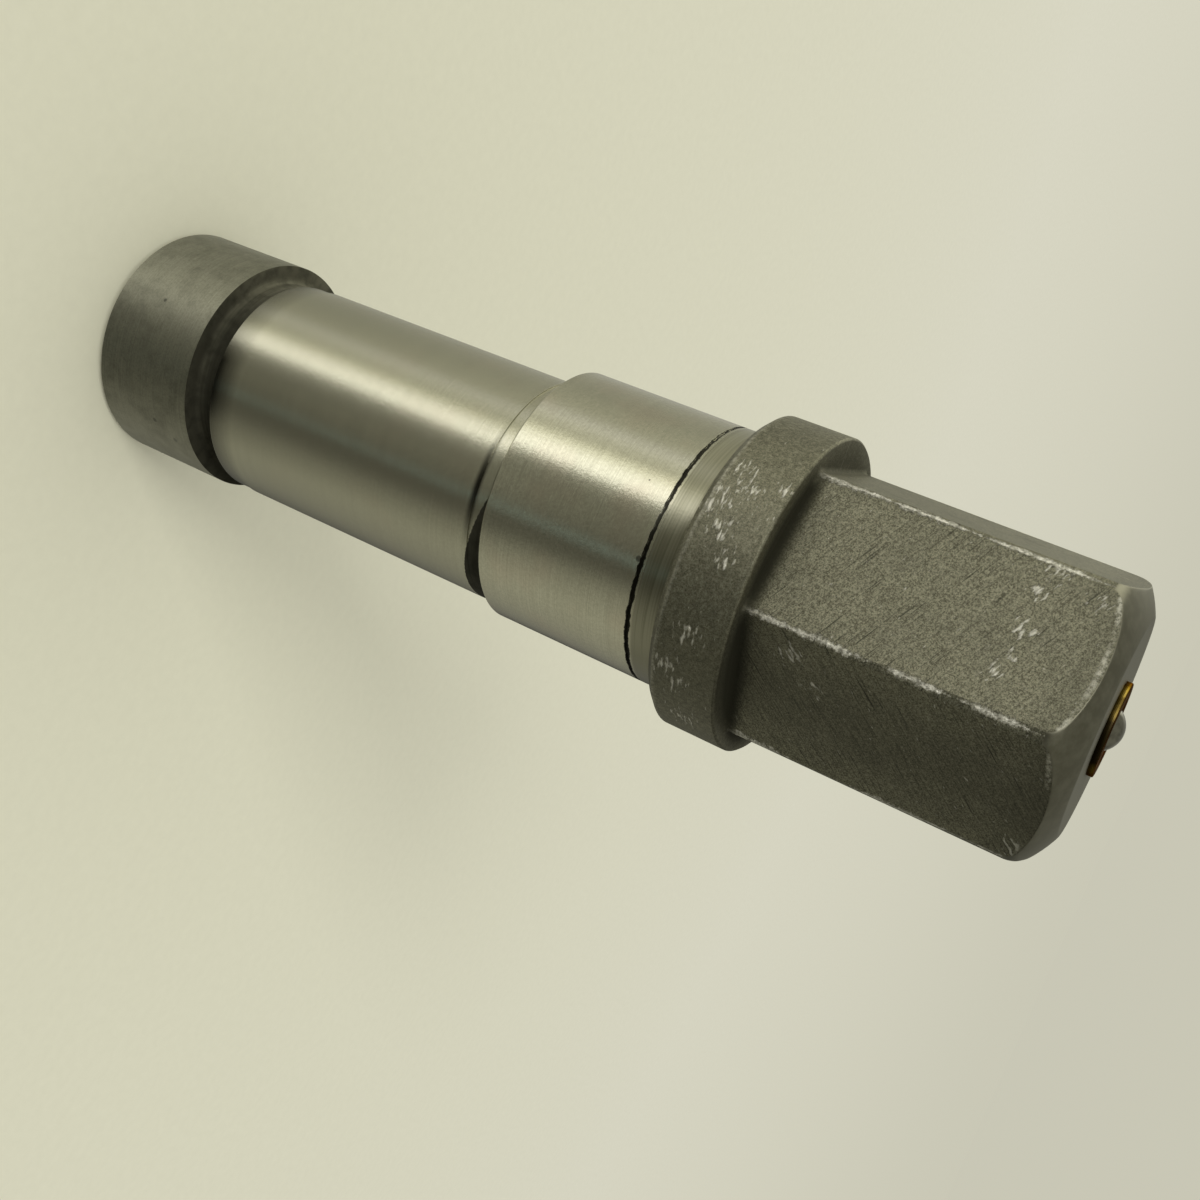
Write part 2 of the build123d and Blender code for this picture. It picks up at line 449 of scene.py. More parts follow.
def place_mm(tree):
    """Object coordinates in millimetres: noise of scale 1 / 0.3 has grains of about 0.3 mm."""
    place = add(tree, "TexCoord").outputs["Object"]
    return add(tree, "VectorMath", {0: place, "Scale": 1 / MM}, operation="SCALE")


def tool_marks(tree, along, across, detail, seed=0):
    """Noise drawn out along the tool's marks: so many millimetres along them and across."""
    worked = add(tree, "UVMap", uv_map="tool_marks")
    stretched = add(tree, "Mapping", {
        "Vector": worked, "Location": (seed, seed, seed), "Scale": (1 / along, 1 / across, 1),
    })
    return add(tree, "TexNoise", {"Vector": stretched, "Scale": 1, "Detail": detail})


def round_axis(tree, place):
    """Radius from the axis and azimuth in degrees, from a place in millimetres."""
    parts = add(tree, "SeparateXYZ", {0: place}).outputs
    flat = add(tree, "VectorMath", {0: place, 1: (1, 1, 0)}, operation="MULTIPLY")
    radius = add(tree, "VectorMath", {0: flat}, operation="LENGTH").outputs["Value"]
    azimuth = add(tree, "Math", {0: parts["Y"], 1: parts["X"]}, operation="ARCTAN2")
    azimuth = add(tree, "Math", {0: azimuth}, operation="DEGREES")
    return radius, azimuth


def on_surface(radius, azimuth, height):
    """A point from its radius, its azimuth in degrees and its height."""
    turned = radians(azimuth)
    return (radius * cos(turned), radius * sin(turned), height)


def band(tree, value, centre, reach):
    """A soft band: 1 where the coordinate is at its centre, 0 past its reach."""
    away = add(tree, "Math", {0: value, 1: centre}, operation="SUBTRACT")
    away = add(tree, "Math", {0: away}, operation="ABSOLUTE")
    return add(tree, "MapRange", {0: away, 2: reach, 3: 1, 4: 0}, interpolation_type="SMOOTHSTEP")


def spots(tree, place, places):
    """Soft round spots at (point, reach) places."""
    spotted = None
    for point, reach in places:
        away = add(tree, "VectorMath", {0: place, 1: point}, operation="DISTANCE").outputs["Value"]
        spot = add(tree, "MapRange", {0: away, 2: reach, 3: 1, 4: 0}, interpolation_type="SMOOTHSTEP")
        spotted = add(tree, "Math", {0: spot, 1: spotted or 0.0}, operation="MAXIMUM")
    return spotted


# Small dark pits in the ground lengths: the middle of each and its reach.
PITS = (
    (on_surface(large_radius, -91.3, 67.7), 0.16),
    (on_surface(large_radius, -61.2, 70.0), 0.5),
    (on_surface(small_radius, 40, 27.0), 0.2),
    (on_surface(large_radius, 120, 62.0), 0.2),
)
# The wheel's own lines are a hundredth of a millimetre apart: they are drawn wider to show.
GRINDING_LINES = 0.07
STRIP_DARK = 16.7
STRIP_CLEAN = 19.8


def ground_steel():
    """Cylindrically ground steel: bright, with fine lines round it that draw reflections out
    along the shaft. A black line of painted shade fills the groove beside the seat ring, and
    painted shade darkens the seat ring's lower side. Old oil darkens the strip that the wheel
    left beside the head collar, with painted shade varying it round the shaft, and a dark
    crescent of painted reflection lies at the small journal's end. The small journal is a
    little duller."""
    material, tree = finish("cylindrically_ground_steel", {
        "Metallic": 1, "Anisotropic": 1.0, "Anisotropic Rotation": 0.25,
    })
    place = place_mm(tree)
    height = add(tree, "SeparateXYZ", {0: place}).outputs["Z"]
    azimuth = round_axis(tree, place)[1]
    lines = tool_marks(tree, 14, GRINDING_LINES, 4)
    broad_lines = tool_marks(tree, 40, 0.8, 3, 7)
    drag = add(tree, "MapRange", {0: lines, 1: 0.3, 2: 0.7})
    colour = add(tree, "MixRGB", {0: drag, 1: linear("#BEBCA5"), 2: linear("#ACAA94")})
    handling = add(tree, "TexNoise", {"Vector": place, "Scale": 1 / 0.32, "Detail": 4, "Roughness": 0.8})
    mottled = add(tree, "MapRange", {0: handling, 1: 0.42, 2: 0.62, 4: 0.3})
    colour = add(tree, "MixRGB", {0: mottled, 1: colour, 2: linear("#8F8D78")})
    cloud = add(tree, "TexNoise", {"Vector": place, "Scale": 1 / 6})
    film = add(tree, "MapRange", {0: cloud, 1: 0.5, 2: 0.75, 4: 0.35})
    colour = add(tree, "MixRGB", {0: film, 1: colour, 2: linear("#B5A690")})
    on_small = add(tree, "MapRange", {0: height, 1: SHOULDER, 2: SHOULDER - 0.1})
    duller = add(tree, "MapRange", {0: height, 1: SHOULDER, 2: GROUND_START, 3: 0.45, 4: 0.9})
    duller = add(tree, "Math", {0: duller, 1: on_small}, operation="MULTIPLY")
    colour = add(tree, "MixRGB", {0: duller, 1: colour, 2: linear("#9F9D88")})

    # The seat ring, a little darker, with grimy lines round it, and painted shade on its lower side.
    on_ring = add(tree, "MapRange", {0: height, 1: LINE_END, 2: LINE_END + 0.4})
    colour = add(tree, "MixRGB", {0: on_ring, 1: colour, 2: linear("#95937E")})
    ring_lines_and_shade = tool_marks(tree, 24, 0.2, 4, 9)
    ring_lines_and_shade = add(tree, "MapRange", {0: ring_lines_and_shade, 1: 0.42, 2: 0.66, 4: 0.5})
    shaded_ring_side = add(tree, "MapRange", {0: band(tree, azimuth, 30, 85), 2: 0.4, 4: 0.45})
    ring_lines_and_shade = add(tree, "Math", {0: ring_lines_and_shade, 1: shaded_ring_side}, operation="MAXIMUM")
    ring_lines_and_shade = add(tree, "Math", {0: ring_lines_and_shade, 1: on_ring}, operation="MULTIPLY")
    colour = add(tree, "MixRGB", {0: ring_lines_and_shade, 1: colour, 2: linear("#66644F")})

    # Oil on the strip beside the head collar, with painted shade that varies it round the shaft as the
    # light falls; a dark line at its step; and a painted dark reflection at the small journal's end.
    oil_and_shade = add(tree, "MapRange", {0: height, 1: STRIP_DARK, 2: STRIP_CLEAN, 3: 1, 4: 0})
    streaks = add(tree, "MapRange", {0: broad_lines, 1: 0.2, 2: 0.5, 3: 0.85, 4: 1})
    oil_and_shade = add(tree, "Math", {0: oil_and_shade, 1: streaks}, operation="MULTIPLY")
    shaded_low_side = add(tree, "MapRange", {0: band(tree, azimuth, 0, 85), 2: 0.08, 3: 0.5, 4: 1})
    oil_and_shade = add(tree, "Math", {0: oil_and_shade, 1: shaded_low_side}, operation="MULTIPLY")
    lit_side = add(tree, "MapRange", {0: band(tree, azimuth, 45, 100), 2: 0.08, 3: 1, 4: 0.7})
    oil_and_shade = add(tree, "Math", {0: oil_and_shade, 1: lit_side}, operation="MULTIPLY")
    step = band(tree, height, GROUND_START, 0.12)
    step = add(tree, "Math", {0: step, 1: 0.5}, operation="MULTIPLY")
    oil_and_shade = add(tree, "Math", {0: oil_and_shade, 1: step}, operation="MAXIMUM")
    end_reflection_shade = band(tree, height, GROUND_END - 0.15, 0.62)
    end_shade_side = band(tree, azimuth, -62, 38)
    end_reflection_shade = add(tree, "Math", {0: end_reflection_shade, 1: end_shade_side}, operation="MULTIPLY")
    oil_and_shade = add(tree, "Math", {0: oil_and_shade, 1: end_reflection_shade}, operation="MAXIMUM")
    colour = add(tree, "MixRGB", {0: oil_and_shade, 1: colour, 2: linear("#323129")})

    # Painted shade: a black line in the groove, with a ragged edge, thinner on the side towards the light.
    # Then the pits.
    ragged = add(tree, "TexNoise", {"Vector": place, "Scale": 1 / 1.1, "Detail": 5, "Roughness": 0.7})
    ragged = add(tree, "Math", {0: ragged, 1: -0.5})
    wander = add(tree, "Math", {0: ragged, 1: 0.6, 2: height}, operation="MULTIPLY_ADD")
    groove_shade = band(tree, wander, (LINE_START + LINE_END) / 2, 0.4)
    thin_on_lit_side = add(tree, "MapRange", {0: band(tree, azimuth, 10, 105), 2: 0.3, 3: 0.4, 4: 0.22})
    groove_shade = add(tree, "Math", {0: groove_shade, 1: thin_on_lit_side}, operation="SUBTRACT")
    groove_shade = add(tree, "MapRange", {0: groove_shade, 2: 0.25, 4: 0.92})
    colour = add(tree, "MixRGB", {0: groove_shade, 1: colour, 2: linear("#22211A")})
    pits = add(tree, "MapRange", {0: spots(tree, place, PITS), 1: 0.2, 2: 0.6, 4: 0.7})
    colour = add(tree, "MixRGB", {0: pits, 1: colour, 2: linear("#3A3730")})

    roughness = add(tree, "MapRange", {0: broad_lines, 1: 0.3, 2: 0.7, 3: 0.17, 4: 0.2})
    roughness = add(tree, "Math", {0: groove_shade, 1: 0.4, 2: roughness}, operation="MULTIPLY_ADD")
    roughness = add(tree, "Math", {0: on_small, 1: 0.05, 2: roughness}, operation="MULTIPLY_ADD")
    roughness = add(tree, "Math", {0: on_ring, 1: 0.1, 2: roughness}, operation="MULTIPLY_ADD")
    texture = add(tree, "Math", {0: handling, 1: 44, 2: lines}, operation="MULTIPLY_ADD")
    bump = add(tree, "Bump", {"Height": texture, "Distance": 4.5e-7, "Strength": 0.6})
    return feed(material, colour, roughness, bump)


# Dark stains on the head collar: the middle of each and its reach.
STAINS = (
    (on_surface(HEAD_RADIUS, -25.8, 8.4), 0.45),
    (on_surface(HEAD_RADIUS, -17.7, 10.9), 0.5),
    (on_surface(HEAD_RADIUS, -85.7, 6.7), 0.35),
)
TURNING_FEED = 0.16


def satin_steel():
    """Turned and oiled steel, not ground: darker and duller, with fine turning lines, a grey
    speckle and cloudy stains, and a painted reflection that makes the lower side lighter."""
    material, tree = finish("satin_turned_steel", {
        "Metallic": 1, "Anisotropic": 0.5, "Anisotropic Rotation": 0.25,
    })
    place = place_mm(tree)
    lines = tool_marks(tree, 20, TURNING_FEED, 4)
    turned_lines = add(tree, "MapRange", {0: lines, 1: 0.35, 2: 0.7})
    colour = add(tree, "MixRGB", {0: turned_lines, 1: linear("#868572"), 2: linear("#7A7968")})
    cloud = add(tree, "TexNoise", {"Vector": place, "Scale": 1 / 2.2, "Detail": 5, "Roughness": 0.6})
    stains = add(tree, "MapRange", {0: cloud, 1: 0.45, 2: 0.7, 4: 0.4})
    colour = add(tree, "MixRGB", {0: stains, 1: colour, 2: linear("#555446")})
    speckle = add(tree, "TexNoise", {"Vector": place, "Scale": 1 / 0.25, "Detail": 3, "Roughness": 0.8})
    speckle = add(tree, "MapRange", {0: speckle, 1: 0.45, 2: 0.65, 4: 0.4})
    colour = add(tree, "MixRGB", {0: speckle, 1: colour, 2: linear("#5C5B4D")})
    marked = add(tree, "MapRange", {0: spots(tree, place, STAINS), 1: 0.2, 2: 0.6, 4: 0.7})
    colour = add(tree, "MixRGB", {0: marked, 1: colour, 2: linear("#37362F")})
    # Painted reflection: the lower side is mixed towards a lighter colour.
    lit_side = band(tree, round_axis(tree, place)[1], 45, 90)
    painted_light_mix = add(tree, "MapRange", {0: lit_side, 2: 0.4, 4: 0.35})
    colour = add(tree, "MixRGB", {0: painted_light_mix, 1: colour, 2: linear("#C4C2AF")})
    roughness = add(tree, "MapRange", {0: cloud, 1: 0.3, 2: 0.7, 3: 0.48, 4: 0.58})
    bump = add(tree, "Bump", {"Height": lines, "Distance": 5e-6, "Strength": 0.6})
    return feed(material, colour, roughness, bump)


def unground_steel():
    """The undercut, the neck and the bores, which the wheel never reached: turned steel under
    old oil, grey-brown, with painted shade near black in the corner by the head collar, weaker on
    the upper side, and darker in the neck."""
    material, tree = finish("unground_oiled_steel", {"Metallic": 1})
    place = place_mm(tree)
    height = add(tree, "SeparateXYZ", {0: place}).outputs["Z"]
    lines = tool_marks(tree, 12, 0.3, 3)
    turned_lines = add(tree, "MapRange", {0: lines, 1: 0.3, 2: 0.7})
    colour = add(tree, "MixRGB", {0: turned_lines, 1: linear("#8A8875"), 2: linear("#6A6858")})
    cloud = add(tree, "TexNoise", {"Vector": place, "Scale": 1 / 1.5, "Detail": 4})
    oil = add(tree, "MapRange", {0: cloud, 1: 0.45, 2: 0.7, 4: 0.5})
    colour = add(tree, "MixRGB", {0: oil, 1: colour, 2: linear("#454439")})
    # Painted shade in the corner by the head collar, weaker on the upper side; the neck is darker too.
    corner = band(tree, height, HEAD_TOP + 0.3, 1.3)
    in_neck = add(tree, "MapRange", {0: height, 1: GROUND_START, 2: GROUND_END})
    shaded_low_side = band(tree, round_axis(tree, place)[1], -10, 130)
    shaded_low_side = add(tree, "MapRange", {0: shaded_low_side, 2: 0.3, 3: 0.4, 4: 1})
    corner = add(tree, "MapRange", {0: corner, 3: 0.82, 4: 0.55})
    corner = add(tree, "Math", {0: corner, 1: shaded_low_side}, operation="MULTIPLY")
    corner_shade_and_dark_neck = add(tree, "Math", {0: in_neck, 1: 0.8}, operation="MULTIPLY")
    corner_shade_and_dark_neck = add(tree, "Math", {0: corner, 1: corner_shade_and_dark_neck}, operation="MAXIMUM")
    colour = add(tree, "MixRGB", {0: corner_shade_and_dark_neck, 1: colour, 2: linear("#37362D")})
    roughness = add(tree, "MapRange", {0: cloud, 1: 0.3, 2: 0.7, 3: 0.78, 4: 0.9})
    return feed(material, colour, roughness)


# Where handling has scuffed the flange, the flats and the corners, rubbed the hexagon's rim (where a
# painted highlight goes too)
# and polished its corners: the middle of each place and its reach.
SCUFFS = [
    (on_surface(flange_radius, azimuth, height), reach)
    for azimuth, height, reach in (
        (-82, 77, 2.6), (-89, 75.4, 3.4), (-96, 77.4, 2.6), (-103, 76.2, 2.2), (-100.5, 80.3, 1.6),
        (-73, 78.5, 1.8), (-46, 77.7, 2.4), (-33, 75.8, 2.8), (-26, 77.4, 2.4), (-9, 77.9, 3),
        (95, 77, 4),
    )
]
SCUFFS += [
    ((across, -FLAT_DISTANCE, height), reach)
    for across, height, reach in (
        (-6.4, 103.4, 2.2), (-4.0, 102.6, 1.6), (-0.6, 103.1, 1.9), (1.8, 102.9, 1.5),
        (3.7, 102.4, 1.7), (-5.3, 107.7, 1.8),
    )
]
SCUFFS += [
    (on_surface(13.6, -51, 86.2), 2.4),
    (on_surface(13.2, -40, 88.6), 1.8),
    (on_surface(13.8, -7, 108.6), 2.2),
]
RUBBED_AND_HIGHLIT = (
    ((-5.5, -FLAT_DISTANCE, 108.8), 4.5),
    ((0.5, -FLAT_DISTANCE, 110), 5),
    ((5.8, -FLAT_DISTANCE, 108.8), 3.2),
    (on_surface(FLAT_DISTANCE + 0.8, -50, 108.6), 4),
    (on_surface(FLAT_DISTANCE, -4, 109), 3),
    (on_surface(FLAT_DISTANCE, 60, 109.6), 6),
    (on_surface(FLAT_DISTANCE, 150, 109.6), 8),
)
HANDLED = [
    (on_surface(CORNER_RADIUS, azimuth, height), reach)
    for azimuth, height, reach in (
        (-120, 84, 6), (-120, 92, 5), (-120, 102, 7),
        (-60, 83, 5), (-60, 89, 5), (-60, 97, 4), (-60, 104, 4),
        (0, 84, 4), (0, 99, 7), (0, 108, 4),
        (60, 95, 12), (120, 90, 9), (180, 100, 12),
    )
]
GRIT = 0.15
CRATERS = 0.4
FILE_SCORES = 0.14


def blasted_steel():
    """Steel blasted with fine grit: a dark speckle, and craters, deeper on the flange. The
    file has left slanting marks on the flats, and painted shade darkens the flat that faces
    azimuth -30°. Handling has polished the hexagon's corners in places, painted brighter as a
    glint on the lit side, and scuffed the flange. The rim and the flange's back edge are
    partly rubbed and painted lighter as highlights, and painted shade darkens the corner
    round the hexagon's foot."""
    material, tree = finish("grit_blasted_steel", {"Metallic": 1})
    place = place_mm(tree)
    height = add(tree, "SeparateXYZ", {0: place}).outputs["Z"]
    radius, azimuth = round_axis(tree, place)
    on_hexagon = add(tree, "MapRange", {0: height, 1: FLANGE_FRONT, 2: FLANGE_FRONT + 1})

    # What the grit left: its speckle, and craters with bright peaks between them.
    grit = add(tree, "TexNoise", {"Vector": place, "Scale": 1 / GRIT, "Detail": 3, "Roughness": 0.8})
    darkest = add(tree, "MapRange", {0: on_hexagon, 3: 0.32, 4: 0.4})
    brightest = add(tree, "MapRange", {0: on_hexagon, 3: 0.68, 4: 0.6})
    speckle = add(tree, "MapRange", {0: grit, 1: darkest, 2: brightest})
    colour = add(tree, "MixRGB", {0: speckle, 1: linear("#504E40"), 2: linear("#8B8973")})
    cloud = add(tree, "TexNoise", {"Vector": place, "Scale": 1 / 3.5, "Detail": 3})
    cloud = add(tree, "MapRange", {0: cloud, 1: 0.45, 2: 0.7, 4: 0.18})
    colour = add(tree, "MixRGB", {0: cloud, 1: colour, 2: linear("#57564A")})
    craters = add(tree, "TexNoise", {"Vector": place, "Scale": 1 / CRATERS, "Detail": 4, "Roughness": 0.75})
    crater_depth = add(tree, "MapRange", {0: on_hexagon, 3: 0.4, 4: 0.26})
    hollows = add(tree, "MapRange", {0: craters, 1: 0.5, 2: 0.3})
    hollows = add(tree, "Math", {0: hollows, 1: crater_depth}, operation="MULTIPLY")
    colour = add(tree, "MixRGB", {0: hollows, 1: colour, 2: linear("#3D3C31")})
    peaks = add(tree, "MapRange", {0: craters, 1: 0.5, 2: 0.7})
    peaks = add(tree, "Math", {0: peaks, 1: crater_depth}, operation="MULTIPLY")
    colour = add(tree, "MixRGB", {0: peaks, 1: colour, 2: linear("#A8A58F")})

    # The file's scores on the flats, with a few long strokes, and painted shade on the flat facing azimuth
    # -30°.
    file_marks = tool_marks(tree, 3.2, FILE_SCORES, 3)
    filed = add(tree, "MapRange", {0: file_marks, 1: 0.48, 2: 0.72})
    toward_face_b = band(tree, azimuth, -30, 32)
    pressed = add(tree, "MapRange", {0: toward_face_b, 2: 0.2, 3: 0.3, 4: 0.5})
    filed = add(tree, "Math", {0: filed, 1: pressed}, operation="MULTIPLY")
    # Painted shade: the flat facing azimuth -30° is darker.
    oiled_and_shaded = add(tree, "Math", {0: toward_face_b, 1: 0.4}, operation="MULTIPLY")
    colour = add(tree, "MixRGB", {0: oiled_and_shaded, 1: colour, 2: linear("#4B4A3E")})
    strokes = tool_marks(tree, 6, 0.16, 2, 3)
    strokes = add(tree, "MapRange", {0: strokes, 1: 0.6, 2: 0.68, 4: 0.85})
    patches = add(tree, "TexNoise", {"Vector": place, "Scale": 1 / 4})
    patches = add(tree, "MapRange", {0: patches, 1: 0.35, 2: 0.55})
    strokes = add(tree, "Math", {0: strokes, 1: patches}, operation="MULTIPLY")
    filed = add(tree, "Math", {0: filed, 1: strokes}, operation="MAXIMUM")
    filed = add(tree, "Math", {0: filed, 1: on_hexagon}, operation="MULTIPLY")
    colour = add(tree, "MixRGB", {0: filed, 1: colour, 2: linear("#36352C")})
    ridges = add(tree, "MapRange", {0: file_marks, 1: 0.42, 2: 0.25, 4: 0.22})
    ridges = add(tree, "Math", {0: ridges, 1: on_hexagon}, operation="MULTIPLY")
    colour = add(tree, "MixRGB", {0: ridges, 1: colour, 2: linear("#A09E88")})

    # Polish along the hexagon's corners, from the distance to the nearest, and scuffs. The polish is
    # painted brighter than bare steel as a glint, moved towards the flat facing azimuth -90°.
    glint_side = add(tree, "MapRange", {0: azimuth, 1: -91, 2: -89, 3: -0.7, 4: 0.7})
    folded = add(tree, "Math", {0: azimuth, 1: glint_side})
    folded = add(tree, "Math", {0: folded, 1: degrees(FLAT_TURN)}, operation="PINGPONG")
    folded = add(tree, "Math", {0: folded, 1: degrees(FLAT_TURN / 2)}, operation="PINGPONG")
    from_corner = add(tree, "Math", {0: folded, 1: radians(CORNER_RADIUS)}, operation="MULTIPLY")
    ragged = add(tree, "TexNoise", {"Vector": place, "Scale": 1 / 0.7, "Detail": 6, "Roughness": 0.9})
    handled = add(tree, "MapRange", {0: spots(tree, place, HANDLED), 2: 0.6, 3: -0.04, 4: 0.14})
    worn_and_glint = add(tree, "Math", {0: ragged, 1: handled})
    worn_and_glint = add(tree, "Math", {0: from_corner, 1: -0.5, 2: worn_and_glint}, operation="MULTIPLY_ADD")
    worn_and_glint = add(tree, "MapRange", {0: worn_and_glint, 1: 0.47, 2: 0.58})
    beads = add(tree, "TexNoise", {"Vector": place, "Scale": 1 / 0.4, "Detail": 3, "Roughness": 0.7})
    beads = add(tree, "MapRange", {0: beads, 1: 0.4, 2: 0.62, 3: 0.3, 4: 1})
    worn_and_glint = add(tree, "Math", {0: worn_and_glint, 1: beads}, operation="MULTIPLY")
    worn_and_glint = add(tree, "Math", {0: worn_and_glint, 1: on_hexagon}, operation="MULTIPLY")
    scratches = tool_marks(tree, 0.9, 0.36, 4, 5)
    scuffs = add(tree, "MapRange", {0: spots(tree, place, SCUFFS), 4: 0.19})
    scuffs = add(tree, "Math", {0: scuffs, 1: scratches})
    scuffs = add(tree, "MapRange", {0: scuffs, 1: 0.67, 2: 0.82, 4: 0.75})
    worn_and_glint = add(tree, "Math", {0: worn_and_glint, 1: scuffs}, operation="MAXIMUM")
    colour = add(tree, "MixRGB", {0: worn_and_glint, 1: colour, 2: linear("#E2DFD0")})
    roughness = add(tree, "MapRange", {0: worn_and_glint, 3: 0.55, 4: 0.3})
    rounding = add(tree, "MapRange", {
        0: height, 1: cone_start - 3, 2: cone_start - 1, 3: WORN_ROUND * MM, 4: CONE_EDGE * MM,
    })

    # A dull strip behind the rim; the rim and the flange's back edge are rubbed, and painted lighter as
    # highlights.
    rim = add(tree, "MapRange", {
        0: radius, 1: END_RADIUS, 2: CORNER_END_RADIUS, 3: end_face, 4: cone_start,
    })
    inward = add(tree, "Math", {0: rim, 1: height}, operation="SUBTRACT")
    dulled = add(tree, "MapRange", {0: inward, 1: 0.4, 2: 3.2, 3: 0.3, 4: 0})
    dulled = add(tree, "Math", {0: dulled, 1: on_hexagon}, operation="MULTIPLY")
    colour = add(tree, "MixRGB", {0: dulled, 1: colour, 2: linear("#4B4A3E")})
    rubbed_and_highlit = band(tree, inward, 0.1, 0.5)
    rubbed_and_highlit = add(tree, "Math", {0: rubbed_and_highlit, 1: spots(tree, place, RUBBED_AND_HIGHLIT)}, operation="MULTIPLY")
    rubbed_and_highlit = add(tree, "Math", {0: rubbed_and_highlit, 1: ragged}, operation="MULTIPLY")
    rubbed_and_highlit = add(tree, "Math", {0: rubbed_and_highlit, 1: beads}, operation="MULTIPLY")
    rubbed_and_highlit = add(tree, "MapRange", {0: rubbed_and_highlit, 1: 0.08, 2: 0.4, 4: 0.75})
    back_edge_highlight = band(tree, height, FLANGE_BACK + BACK_CHAMFER + 0.05, 0.35)
    back_edge_highlight = add(tree, "Math", {0: back_edge_highlight, 1: beads}, operation="MULTIPLY")
    back_edge_highlight = add(tree, "Math", {0: back_edge_highlight, 1: 0.4}, operation="MULTIPLY")
    rubbed_and_highlit = add(tree, "Math", {0: rubbed_and_highlit, 1: back_edge_highlight}, operation="MAXIMUM")
    colour = add(tree, "MixRGB", {0: rubbed_and_highlit, 1: colour, 2: linear("#B4B2A2")})

    # Painted shade in the corner round the hexagon's foot, deeper on one side.
    foot = band(tree, height, FLANGE_FRONT, 1.8)
    foot = add(tree, "MapRange", {0: foot, 1: 0.05, 2: 0.95, 4: 0.95})
    in_corner = add(tree, "MapRange", {0: radius, 1: flange_radius - 0.1, 2: 14})
    foot = add(tree, "Math", {0: foot, 1: in_corner}, operation="MULTIPLY")
    foot_shade_side = add(tree, "MapRange", {0: band(tree, azimuth, -45, 85), 2: 0.1, 3: 0.55, 4: 1})
    foot = add(tree, "Math", {0: foot, 1: foot_shade_side}, operation="MULTIPLY")
    colour = add(tree, "MixRGB", {0: foot, 1: colour, 2: linear("#3E3D31")})
    roughness = add(tree, "Math", {0: foot, 1: 0.4, 2: roughness}, operation="MULTIPLY_ADD")

    depth = add(tree, "Math", {0: filed, 1: -1.2, 2: grit}, operation="MULTIPLY_ADD")
    dents = add(tree, "Math", {0: ragged, 1: worn_and_glint}, operation="MULTIPLY")
    dents = add(tree, "Math", {0: dents, 1: 14}, operation="MULTIPLY")
    depth = add(tree, "Math", {0: depth, 1: dents})
    rounded = add(tree, "Bevel", {"Radius": rounding})
    bump = add(tree, "Bump", {"Height": depth, "Distance": 2.5e-5, "Strength": 0.6, "Normal": rounded})
    return feed(material, colour, roughness, bump)


def coned_steel():
    """The turned cone and end face of the hexagon: smooth and dark, its edges rubbed round."""
    material, tree = finish("turned_dark_steel", {"Metallic": 1})
    place = place_mm(tree)
    cloud = add(tree, "TexNoise", {"Vector": place, "Scale": 1 / 1.2, "Detail": 4, "Roughness": 0.6})
    patches = add(tree, "MapRange", {0: cloud, 1: 0.4, 2: 0.7})
    colour = add(tree, "MixRGB", {0: patches, 1: linear("#737160"), 2: linear("#858372")})
    roughness = add(tree, "MapRange", {0: cloud, 1: 0.3, 2: 0.7, 3: 0.4, 4: 0.5})
    rounded = add(tree, "Bevel", {"Radius": CONE_EDGE * MM})
    return feed(material, colour, roughness, rounded)


shaft_mesh = turned_lengths()
offset_journal(shaft_mesh)
turn_neck(shaft_mesh)
add_to(shaft_mesh, hexagon_end())
# The flange's front face closes what is open between its edge and the hexagon's foot.
open_rims = [edge for edge in shaft_mesh.edges if edge.is_boundary]
bmesh.ops.triangle_fill(shaft_mesh, edges=open_rims, use_beauty=True)
bmesh.ops.dissolve_degenerate(shaft_mesh, dist=MERGE, edges=shaft_mesh.edges)
bmesh.ops.recalc_face_normals(shaft_mesh, faces=shaft_mesh.faces)
break_edges(shaft_mesh)
for face in shaft_mesh.faces:
    face.material_index = shaft_zone(face)
unroll(shaft_mesh)
shaft_piece = finish_mesh(shaft_mesh, "steel_shaft", "root", "shaft")
for made in (satin_steel(), unground_steel(), ground_steel(), blasted_steel(), coned_steel()):
    shaft_piece.data.materials.append(made)

# ----------------------------------------
# The plunger's sleeve: free-cutting brass, turned, pressed into the hexagon's end up to its
# collar. Its lip is rolled in over the ball, which keeps it from dropping out.

SLEEVE_FLOOR = 1.0
COLLAR_BREAK = 0.05
CAGE_CLEARANCE = 0.08
LIP_STEPS = 8
SLEEVE_COLUMNS = 180

sleeve_low, sleeve_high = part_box("plunger_body")
ball_low, ball_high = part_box("plunger_ball")
collar_radius = sleeve_high.x / MM
collar_face = sleeve_high.z / MM
sleeve_bottom = sleeve_low.z / MM
ball_centre = (ball_low.z + ball_high.z) / 2 / MM
ball_radius = (ball_high.x - ball_low.x) / 2 / MM
cage_radius = ball_radius + CAGE_CLEARANCE
lip_angle = asin((collar_face - ball_centre) / cage_radius)

# The turning tool's feed, and how far a wave of scale 1 runs before it comes round.
BRASS_FEED = 0.1309
WAVE = 2 * pi / 20


